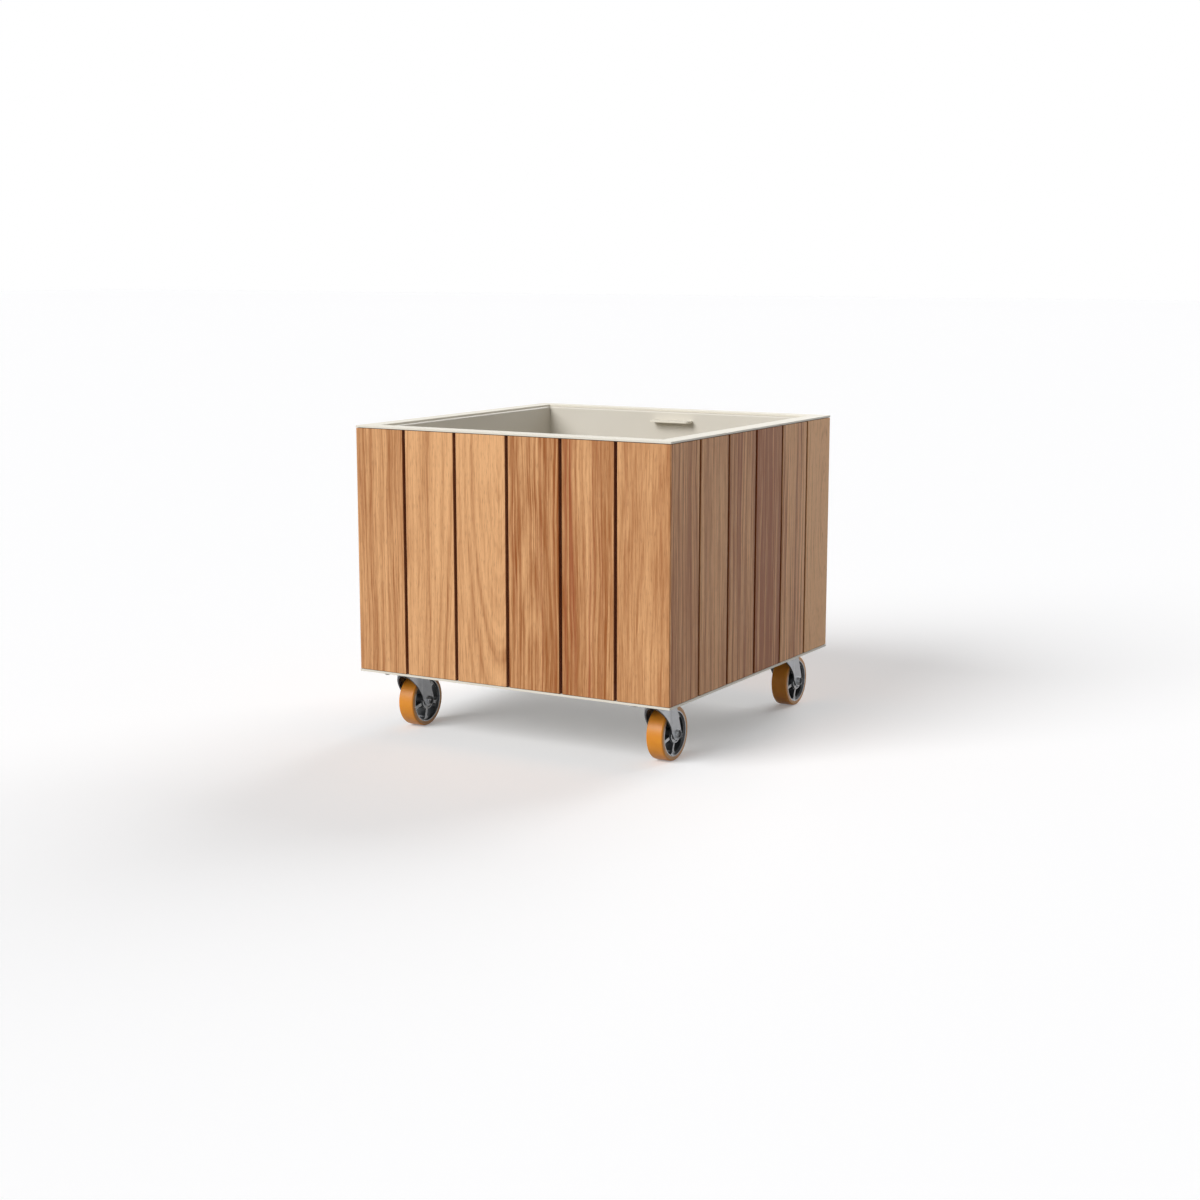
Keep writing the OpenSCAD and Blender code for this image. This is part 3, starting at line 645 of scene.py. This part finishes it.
amber, tree, output = new_material("amber_cast_polyurethane")
coordinates = add(tree, "ShaderNodeTexCoord").outputs
cloud = add(tree, "ShaderNodeTexNoise", {"Vector": coordinates["Object"],
            "Scale": 1 / (AMBER_CLOUD * MM), "Detail": 2.0})
scuff = add(tree, "ShaderNodeTexNoise", {"Vector": coordinates["Object"],
            "Scale": 1 / (SCUFF * MM), "Detail": 3.0, "Roughness": 0.6})
tint = add(tree, "ShaderNodeMix", {"Factor": cloud, "A": linear(AMBER_DEEP),
           "B": linear(AMBER_CLEAR)}, data_type="RGBA")
facing = add(tree, "ShaderNodeSeparateXYZ", {0: coordinates["Normal"]}).outputs["X"]
facing = add(tree, "ShaderNodeMath", {0: facing}, operation="ABSOLUTE")
side_tint = add(tree, "ShaderNodeMapRange", {"Value": facing, **SIDE_TINT_ENDS})
tint = add(tree, "ShaderNodeMix", {"Factor": side_tint, "A": tint.outputs[2],
           "B": linear(AMBER_SIDE_TINT)}, data_type="RGBA")
gloss = add(tree, "ShaderNodeMapRange", {"Value": scuff, **SCUFF_GLOSS})
bump = add(tree, "ShaderNodeBump", {"Height": scuff, "Strength": 0.2,
           "Distance": SCUFF_RELIEF * MM})
shader = add(tree, "ShaderNodeBsdfPrincipled", {"Base Color": tint.outputs[2], "Normal": bump,
             "Roughness": gloss, "IOR": PLASTIC_IOR, **WAX})
tree.links.new(shader.outputs[0], output.inputs["Surface"])
print("polyurethane:", len(tree.nodes), "nodes")

# %% [markdown]
# ## Rubber
# The bearings' seals are moulded in black nitrile rubber. It is dull and even, so a faint mottle in
# its colour is all that it needs.

# %% Nitrile rubber
RUBBER_DARK, RUBBER_LIGHT = "#1A1A1B", "#262628"
MOTTLE = 1.2

rubber, tree, output = new_material("black_nitrile_rubber")
place = add(tree, "ShaderNodeTexCoord").outputs["Object"]
mottle = add(tree, "ShaderNodeTexNoise", {"Vector": place, "Scale": 1 / (MOTTLE * MM),
             "Detail": 2.0})
tint = add(tree, "ShaderNodeMix", {"Factor": mottle, "A": linear(RUBBER_DARK),
           "B": linear(RUBBER_LIGHT)}, data_type="RGBA")
shader = add(tree, "ShaderNodeBsdfPrincipled", {"Base Color": tint.outputs[2],
             "Roughness": 0.55, "IOR": PLASTIC_IOR})
tree.links.new(shader.outputs[0], output.inputs["Surface"])
print("rubber:", len(tree.nodes), "nodes")

# %% [markdown]
# ## Pieces that keep their CAD shape
# Plates, folded sheet, rails, forks and castings already have their true shape in the CAD model.
# What they lack is the soft edge. The CAD mesh itself stays as it is, so each is copied first. The
# copy's loose triangles are welded, and its flat faces are made whole, so that only real edges are
# left for the bevel.

# %% Welded copies
WELD = 0.005
FLAT = math.radians(0.5)


def welded_form(node):
    """A CAD node's triangles, joined at their corners, in an editable form."""
    form = bmesh.new()
    form.from_mesh(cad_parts[node].data)
    bmesh.ops.remove_doubles(form, verts=form.verts, dist=WELD * MM)
    return form


def welded(node, material):
    """A copy of a CAD node, with its triangles joined into whole faces."""
    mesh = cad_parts[node].data.copy()
    form = welded_form(node)
    bmesh.ops.dissolve_limit(form, angle_limit=FLAT, verts=form.verts, edges=form.edges)
    form.to_mesh(mesh)
    form.free()
    mesh.materials.clear()
    mesh.materials.append(material)
    return show(node + "_finished", mesh)


# %% Sheet and sections
SHEET = {
    # node: material, slot, edge radius in millimetres
    "rim_frame": (cream, "coated_steel", 0.8), "tank": (shaded_tank_cream, "coated_steel", 0.5),
    "base_plate": (cream, "coated_steel", 0.8), "lifting_lugs": (cream, "coated_steel", 0.8)}
for node in ("upper_rail", "lower_rail", "corner_posts", "base_channels"):
    SHEET[node] = (galvanised, "galvanised_steel", 0.6)

for node, (material, slot, edge) in SHEET.items():
    piece = welded(node, material)
    finish(piece, "planter", [node], edge)
    print(node, len(piece.data.polygons), "faces")

# %% [markdown]
# ## Casters
# Each caster is a pressed top plate, a pressed fork, a kingpin with its race cup, an axle bolt and
# a cast core with a tread on it. The presses leave an edge radius under a millimetre, and so does
# the casting mould. Some of their faces get a darker metal, which is painted shade: a fork's
# sheared edges, the walls of a core's pockets, and the cup in an axle bolt's head. A test on each
# face's middle and normal finds them, which is quicker than marking them by hand on twelve pieces.

# %% Repainting faces
SHEARED_DOWN = -0.3
SIDEWAYS = 0.5
CUP_R, CUP_DEPTH = 8.6, 4.0
TOUCH = 0.01


def repaint(piece, material, test):
    """Gives another material to the faces whose centre and normal pass a test."""
    piece.data.materials.append(material)
    for face in piece.data.polygons:
        if test(face.center, face.normal):
            face.material_index = len(piece.data.materials) - 1


def is_cut_edge(centre, normal):
    """A fork's cut edges look down and forward, while its pressed sides look left and right."""
    return normal.z < SHEARED_DOWN and abs(normal.x) < SIDEWAYS


def is_pocket_wall(centre, normal):
    """The walls of a core's pockets look round the axle, while its faces look along it."""
    return abs(normal.x) < SIDEWAYS


def cup_test(node):
    """A test for the faces in the cup of an axle's head."""
    low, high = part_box(node)
    middle, bottom = (low + high) / 2, high.x - CUP_DEPTH * MM
    return lambda centre, normal: centre.x > bottom - TOUCH * MM and math.hypot(
        centre.y - middle.y, centre.z - middle.z) < CUP_R * MM


# %% Plates, forks, axles and cores
CASTER = {
    # kind: body, material, slot, edge radius in millimetres
    "caster_plate": ("planter", zinc, "zinc_plated_steel", 0.5),
    "fork": ("caster_", zinc, "zinc_plated_steel", 0.7),
    "axle": ("caster_", plated, "fastener_steel", 0.5),
    "core": ("wheel_", casting, "cast_aluminium", 0.6)}

for corner in CORNERS:
    for kind, (body, material, slot, edge) in CASTER.items():
        node = f"{kind}_{corner}"
        piece = welded(node, material)
        # painted shade: the fork's cut edges get the darker steel
        if kind == "fork":
            repaint(piece, painted_shade_steel, is_cut_edge)
        # painted shade: the walls of the core's pockets get the darker metal
        if kind == "core":
            repaint(piece, pocket_shade_cast, is_pocket_wall)
        # painted shade: the cup in the axle bolt's head gets the darker steel
        if kind == "axle":
            repaint(piece, painted_shade_steel, cup_test(node))
        owner = body if body == "planter" else body + corner
        finish(piece, owner, [node], edge)
finish(welded("kingpins", plated), "planter", ["kingpins"], 0.4)
print("caster pieces:", len(CORNERS) * len(CASTER) + 1)

# %% [markdown]
# ## Turned pieces
# Treads and bearings are turned: each is an outline swept round the wheel's axis. A lathe in a few
# lines does that. Its outline is a list of radii and places along the axis, in millimetres. A
# cylinder or a torus would need cutting to reach the same outline.

# %% Lathe
STEPS = 96


def turned(name, outline, centre, material, steps=STEPS):
    """Sweeps a closed outline of (radius, along) points, in millimetres, about X at the centre."""
    form = bmesh.new()
    turns = [2 * math.pi * i / steps for i in range(steps)]
    rings = [[form.verts.new(centre + MM * Vector(
        (along, radius * math.cos(t), radius * math.sin(t)))) for t in turns]
        for radius, along in outline]
    for ring, after in zip(rings, rings[1:] + rings[:1]):
        for i in range(steps):
            j = (i + 1) % steps
            form.faces.new((ring[i], ring[j], after[j], after[i]))
    bmesh.ops.recalc_face_normals(form, faces=form.faces)
    mesh = bpy.data.meshes.new(name)
    form.to_mesh(mesh)
    form.free()
    mesh.materials.append(material)
    return show(name, mesh)


def wheel_size(node):
    """A wheel part's centre, and its radius and half its width in millimetres."""
    low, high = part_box(node)
    return (low + high) / 2, (high.z - low.z) / 2 / MM, (high.x - low.x) / 2 / MM


print("front left wheel turns about", [round(c, 4) for c in wheel_size("core_front_left")[0]])

# %% [markdown]
# ## Treads
# The tread is a band with round shoulders. Its tread face is crowned by a third of a millimetre, as
# a turned tyre is, and its cut sides are level with the core's rim.

# %% Treads
SHOULDER = 5.0
CROWN = 0.3
SHOULDER_STEPS = 8
TREAD_STEPS = 128

for corner in CORNERS:
    centre, inner, _ = wheel_size("core_" + corner)
    _, outer, half = wheel_size("tread_" + corner)
    outline = [(inner, half)]
    for i in range(SHOULDER_STEPS + 1):
        turn = math.radians(90 * i / SHOULDER_STEPS)
        outline.append((outer - CROWN - SHOULDER + SHOULDER * math.sin(turn),
                        half - SHOULDER + SHOULDER * math.cos(turn)))
    mirrored = [(radius, -along) for radius, along in reversed(outline)]
    tread = turned(f"tread_{corner}_band", outline + [(outer, 0)] + mirrored, centre, amber,
                   steps=TREAD_STEPS)
    finish(tread, "wheel_" + corner, ["tread_" + corner])
print("tread:", outer, "mm radius,", 2 * half, "mm wide,", len(tread.data.polygons), "faces")

# %% [markdown]
# ## Bearings
# A sealed ball bearing shows an outer ring, an inner ring and a black seal set a little back
# between them. The seal hides the balls. Each part is an oblong turned round the axle, and the six
# parts of a wheel's two bearings are joined into one piece.

# %% Bearings
BEARING_W = 11.0
BEARING_BORE = 15.0
RING_T = 3.0
SEAL_BACK = 0.6


def merged(name, parts):
    """Joins objects into one that keeps each part's material."""
    mesh = bpy.data.meshes.new(name)
    form = bmesh.new()
    for index, part in enumerate(parts):
        mesh.materials.append(part.data.materials[0])
        count = len(form.faces)
        form.from_mesh(part.data)
        form.faces.ensure_lookup_table()
        for face in form.faces[count:]:
            face.material_index = index
        bpy.data.objects.remove(part)
    form.to_mesh(mesh)
    form.free()
    return show(name, mesh)


def oblong(outer, inner, near, far):
    """The outline of a ring between two radii and two places along the axis."""
    return [(outer, near), (outer, far), (inner, far), (inner, near)]


for corner in CORNERS:
    centre = wheel_size("core_" + corner)[0]
    _, outer, half = wheel_size("bearings_" + corner)
    seal_out, seal_in = outer - RING_T, BEARING_BORE / 2 + RING_T
    parts = []
    for s in (-1, 1):
        far, near = s * half, s * (half - BEARING_W)
        for radius in (outer, seal_in):
            ring = oblong(radius, radius - RING_T, near, far)
            parts.append(turned("ring", ring, centre, bearing))
        seal = oblong(seal_out, seal_in, near + s * SEAL_BACK, far - s * SEAL_BACK)
        parts.append(turned("seal", seal, centre, rubber))
    finish(merged(f"bearings_{corner}_sealed", parts), "wheel_" + corner,
           ["bearings_" + corner], 0.3)
print("bearings:", round(outer * 2), "mm across, seals", SEAL_BACK, "mm back")

# %% [markdown]
# ## Swivel balls
# The plate and the fork's head run on a ring of balls. What repeats round a circle is a job for
# Geometry Nodes: a circle of points, with a ball on each. The host mesh has one point for each
# caster, so the ring itself is repeated too.

# %% Ball tree
BALL_STEPS = 3

tree, given = new_tree("ball_ring", {"Geometry": "Geometry", "Count": "Int",
                       "Race radius": "Float", "Ball radius": "Float"})
race = add(tree, "GeometryNodeMeshCircle", {"Vertices": given["Count"],
           "Radius": given["Race radius"]})
ball = add(tree, "GeometryNodeMeshIcoSphere", {"Radius": given["Ball radius"],
           "Subdivisions": BALL_STEPS})
race = add(tree, "GeometryNodeInstanceOnPoints", {"Points": race, "Instance": ball})
rings = add(tree, "GeometryNodeInstanceOnPoints", {"Points": given["Geometry"],
            "Instance": race})
ball_tree = end_tree(tree, rings, bearing)

# %% Swivel balls
BALLS_PER_RING = 12

low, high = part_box("swivel_balls")
ball_radius = (high.z - low.z) / 2
swivels = []
for corner in CORNERS:
    foot_low, foot_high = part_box("caster_plate_" + corner)
    swivels.append(((foot_low.x + foot_high.x) / 2, (foot_low.y + foot_high.y) / 2,
                    (low.z + high.z) / 2))
race_radius = high.x - max(swivel[0] for swivel in swivels) - ball_radius
host = bpy.data.meshes.new("swivels")
host.from_pydata(swivels, [], [])
piece = grown("swivel_ball_rings", ball_tree, host, count=BALLS_PER_RING,
              race_radius=race_radius, ball_radius=ball_radius)
finish(piece, "planter", ["swivel_balls"])
print("balls:", BALLS_PER_RING * len(swivels), "of", round(2 * ball_radius / MM, 1), "mm")

# %% [markdown]
# ## Bolts, nuts and screws
# One rule makes every fastener: a head with a number of sides and a chamfered end, and below it a
# shank whose radius goes up and down along its length, which reads as a thread. With six sides and
# a plain shank it is a nut on its washer, and with many sides it is a round screw head. The host
# mesh has one point for each fastener, and an attribute on it says which way its head points.

# %% Fastener tree: its head
HEAD_RINGS = 6
CHAMFER = {"From Min": 0.8, "From Max": 1.0, "To Min": 1.0, "To Max": 0.86}


def swept(tree, spine, sides, width):
    """A polygon with so many sides, swept along a spine and as wide as a field says."""
    circle = add(tree, "GeometryNodeCurvePrimitiveCircle", {"Resolution": sides})
    return add(tree, "GeometryNodeCurveToMesh", {"Curve": spine, "Profile Curve": circle,
               "Scale": width, "Fill Caps": True})


tree, given = new_tree("fastener", {
    "Geometry": "Geometry", "Head radius": "Float", "Head height": "Float", "Head sides": "Int",
    "Shank radius": "Float", "Shank length": "Float", "Shank sides": "Int", "Pitch": "Float",
    "Thread depth": "Float"})
top = add(tree, "ShaderNodeCombineXYZ", {"Z": given["Head height"]})
spine = add(tree, "GeometryNodeCurvePrimitiveLine", {"End": top})
spine = add(tree, "GeometryNodeResampleCurve", {"Curve": spine, "Count": HEAD_RINGS})
along = add(tree, "GeometryNodeSplineParameter").outputs["Factor"]
taper = add(tree, "ShaderNodeMapRange", {"Value": along, **CHAMFER})
width = add(tree, "ShaderNodeMath", {0: taper, 1: given["Head radius"]}, operation="MULTIPLY")
head = swept(tree, spine, given["Head sides"], width)
print("fastener head:", len(tree.nodes), "nodes")

# %% Fastener tree: its shank
foot = add(tree, "ShaderNodeMath", {0: given["Shank length"], 1: -1.0}, operation="MULTIPLY")
foot = add(tree, "ShaderNodeCombineXYZ", {"Z": foot})
turns = add(tree, "ShaderNodeMath", {0: given["Shank length"], 1: given["Pitch"]},
            operation="DIVIDE")
# a crest and a valley for each turn, and two ends
count = add(tree, "ShaderNodeMath", {0: turns, 1: 2.0, 2: 2.0}, operation="MULTIPLY_ADD")
spine = add(tree, "GeometryNodeCurvePrimitiveLine", {"End": foot})
spine = add(tree, "GeometryNodeResampleCurve", {"Curve": spine, "Count": count})
parity = add(tree, "ShaderNodeMath", {0: add(tree, "GeometryNodeInputIndex"), 1: 2.0},
             operation="MODULO")
valley = add(tree, "ShaderNodeMath", {0: parity, 1: given["Thread depth"]},
             operation="MULTIPLY")
width = add(tree, "ShaderNodeMath", {0: given["Shank radius"], 1: valley},
            operation="SUBTRACT")
shank = swept(tree, spine, given["Shank sides"], width)
print("fastener head and shank:", len(tree.nodes), "nodes")

# %% Fastener tree: one on each point
axis = add(tree, "GeometryNodeInputNamedAttribute", {"Name": "axis"}, data_type="FLOAT_VECTOR")
turn = add(tree, "FunctionNodeAlignRotationToVector", {"Vector": axis.outputs["Attribute"]},
           axis="Z")
placed = add(tree, "GeometryNodeInstanceOnPoints", {"Points": given["Geometry"],
             "Instance": join(tree, head, shank), "Rotation": turn})
fastener_tree = end_tree(tree, placed, plated)

# %% [markdown]
# ## Where the fasteners are
# Their places come from the CAD node: its mesh falls apart into one island for each fastener, and
# an island's box gives its middle and its length.

# %% Islands of a node
def islands(node):
    """The boxes of a CAD node's separate solids, as (low, high) pairs."""
    form = welded_form(node)
    boxes, seen = [], set()
    for start in form.verts:
        if start in seen:
            continue
        island, edge = [], [start]
        seen.add(start)
        while edge:
            vertex = edge.pop()
            island.append(vertex.co.copy())
            for other in (e.other_vert(vertex) for e in vertex.link_edges):
                if other not in seen:
                    seen.add(other)
                    edge.append(other)
        boxes.append(tuple(Vector([end(point[axis] for point in island) for axis in range(3)])
                           for end in (min, max)))
    form.free()
    return boxes


def fastener_host(name, places):
    """A mesh with a point at each place, and the way that each head points in an attribute."""
    host = bpy.data.meshes.new(name)
    host.from_pydata([place for place, _ in places], [], [])
    attribute = host.attributes.new("axis", "FLOAT_VECTOR", "POINT")
    for point, (_, axis) in zip(attribute.data, places):
        point.vector = axis
    return host


# %% [markdown]
# ## Caster bolts
# Each plate hangs on four M10 bolts, with their heads on the base plate and their nuts and washers
# under the caster's plate. The CAD bolts are plain solids, so their threads are grown here.

# %% Caster bolts
BOLT = 10.0
BOLT_FLATS = 1.7 * BOLT
BOLT_HEAD, NUT, WASHER = 0.64 * BOLT, 0.8 * BOLT, 2.0
HEX_CORNER = BOLT_FLATS / 2 / math.cos(math.radians(30))
PITCH, THREAD_DEPTH = 1.5, 0.6
PLATE_T = 5.0
UP, DOWN = Vector((0, 0, 1)), Vector((0, 0, -1))

bolts = islands("caster_bolts")
plate_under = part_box("caster_plate_front_left")[1].z - PLATE_T * MM
heads, nuts = [], []
for low, high in bolts:
    x, y = (low.x + high.x) / 2, (low.y + high.y) / 2
    heads.append((Vector((x, y, high.z - BOLT_HEAD * MM)), UP))
    nuts.append((Vector((x, y, plate_under - WASHER * MM)), DOWN))
hexagon = {"head_radius": HEX_CORNER * MM, "head_sides": 6}
head_pieces = grown("heads", fastener_tree, fastener_host("bolt_heads", heads), **hexagon,
                    head_height=BOLT_HEAD * MM, shank_radius=BOLT / 2 * MM, shank_sides=14,
                    shank_length=heads[0][0].z - bolts[0][0].z, pitch=PITCH * MM,
                    thread_depth=THREAD_DEPTH * MM)
nut_pieces = grown("nuts", fastener_tree, fastener_host("bolt_nuts", nuts), **hexagon,
                   head_height=NUT * MM, shank_radius=BOLT * MM, shank_sides=24,
                   shank_length=WASHER * MM, pitch=4 * WASHER * MM, thread_depth=0.0)
finish(merged("caster_bolts_threaded", [head_pieces, nut_pieces]), "planter",
       ["caster_bolts"])
print("caster bolts:", len(bolts), f"of M{BOLT:g}")

# %% [markdown]
# ## Board screws
# Screws through the two rails hold each board from behind. A screw lies across its board, and its
# head is the end that faces the middle of the planter.

# %% Board screws
SCREW = 5.0
SCREW_HEAD = 3.0
SCREW_PITCH = 4.0

screws = []
for low, high in islands("board_screws"):
    centre, size = (low + high) / 2, high - low
    axis = max((0, 1), key=lambda a: size[a])
    inward = Vector((0, 0, 0))
    inward[axis] = -math.copysign(1, centre[axis])
    screws.append((centre + inward * (size[axis] / 2 - SCREW_HEAD * MM), inward))
length = max(size.x, size.y) - SCREW_HEAD * MM
piece = grown("board_screws_threaded", fastener_tree, fastener_host("screws", screws),
              head_radius=SCREW * MM, head_height=SCREW_HEAD * MM, head_sides=12,
              shank_radius=SCREW / 2 * MM, shank_length=length, shank_sides=6,
              pitch=SCREW_PITCH * MM, thread_depth=THREAD_DEPTH * MM)
finish(piece, "planter", ["board_screws"])
print("board screws:", len(screws), "of", SCREW, "x", round(length / MM), "mm")
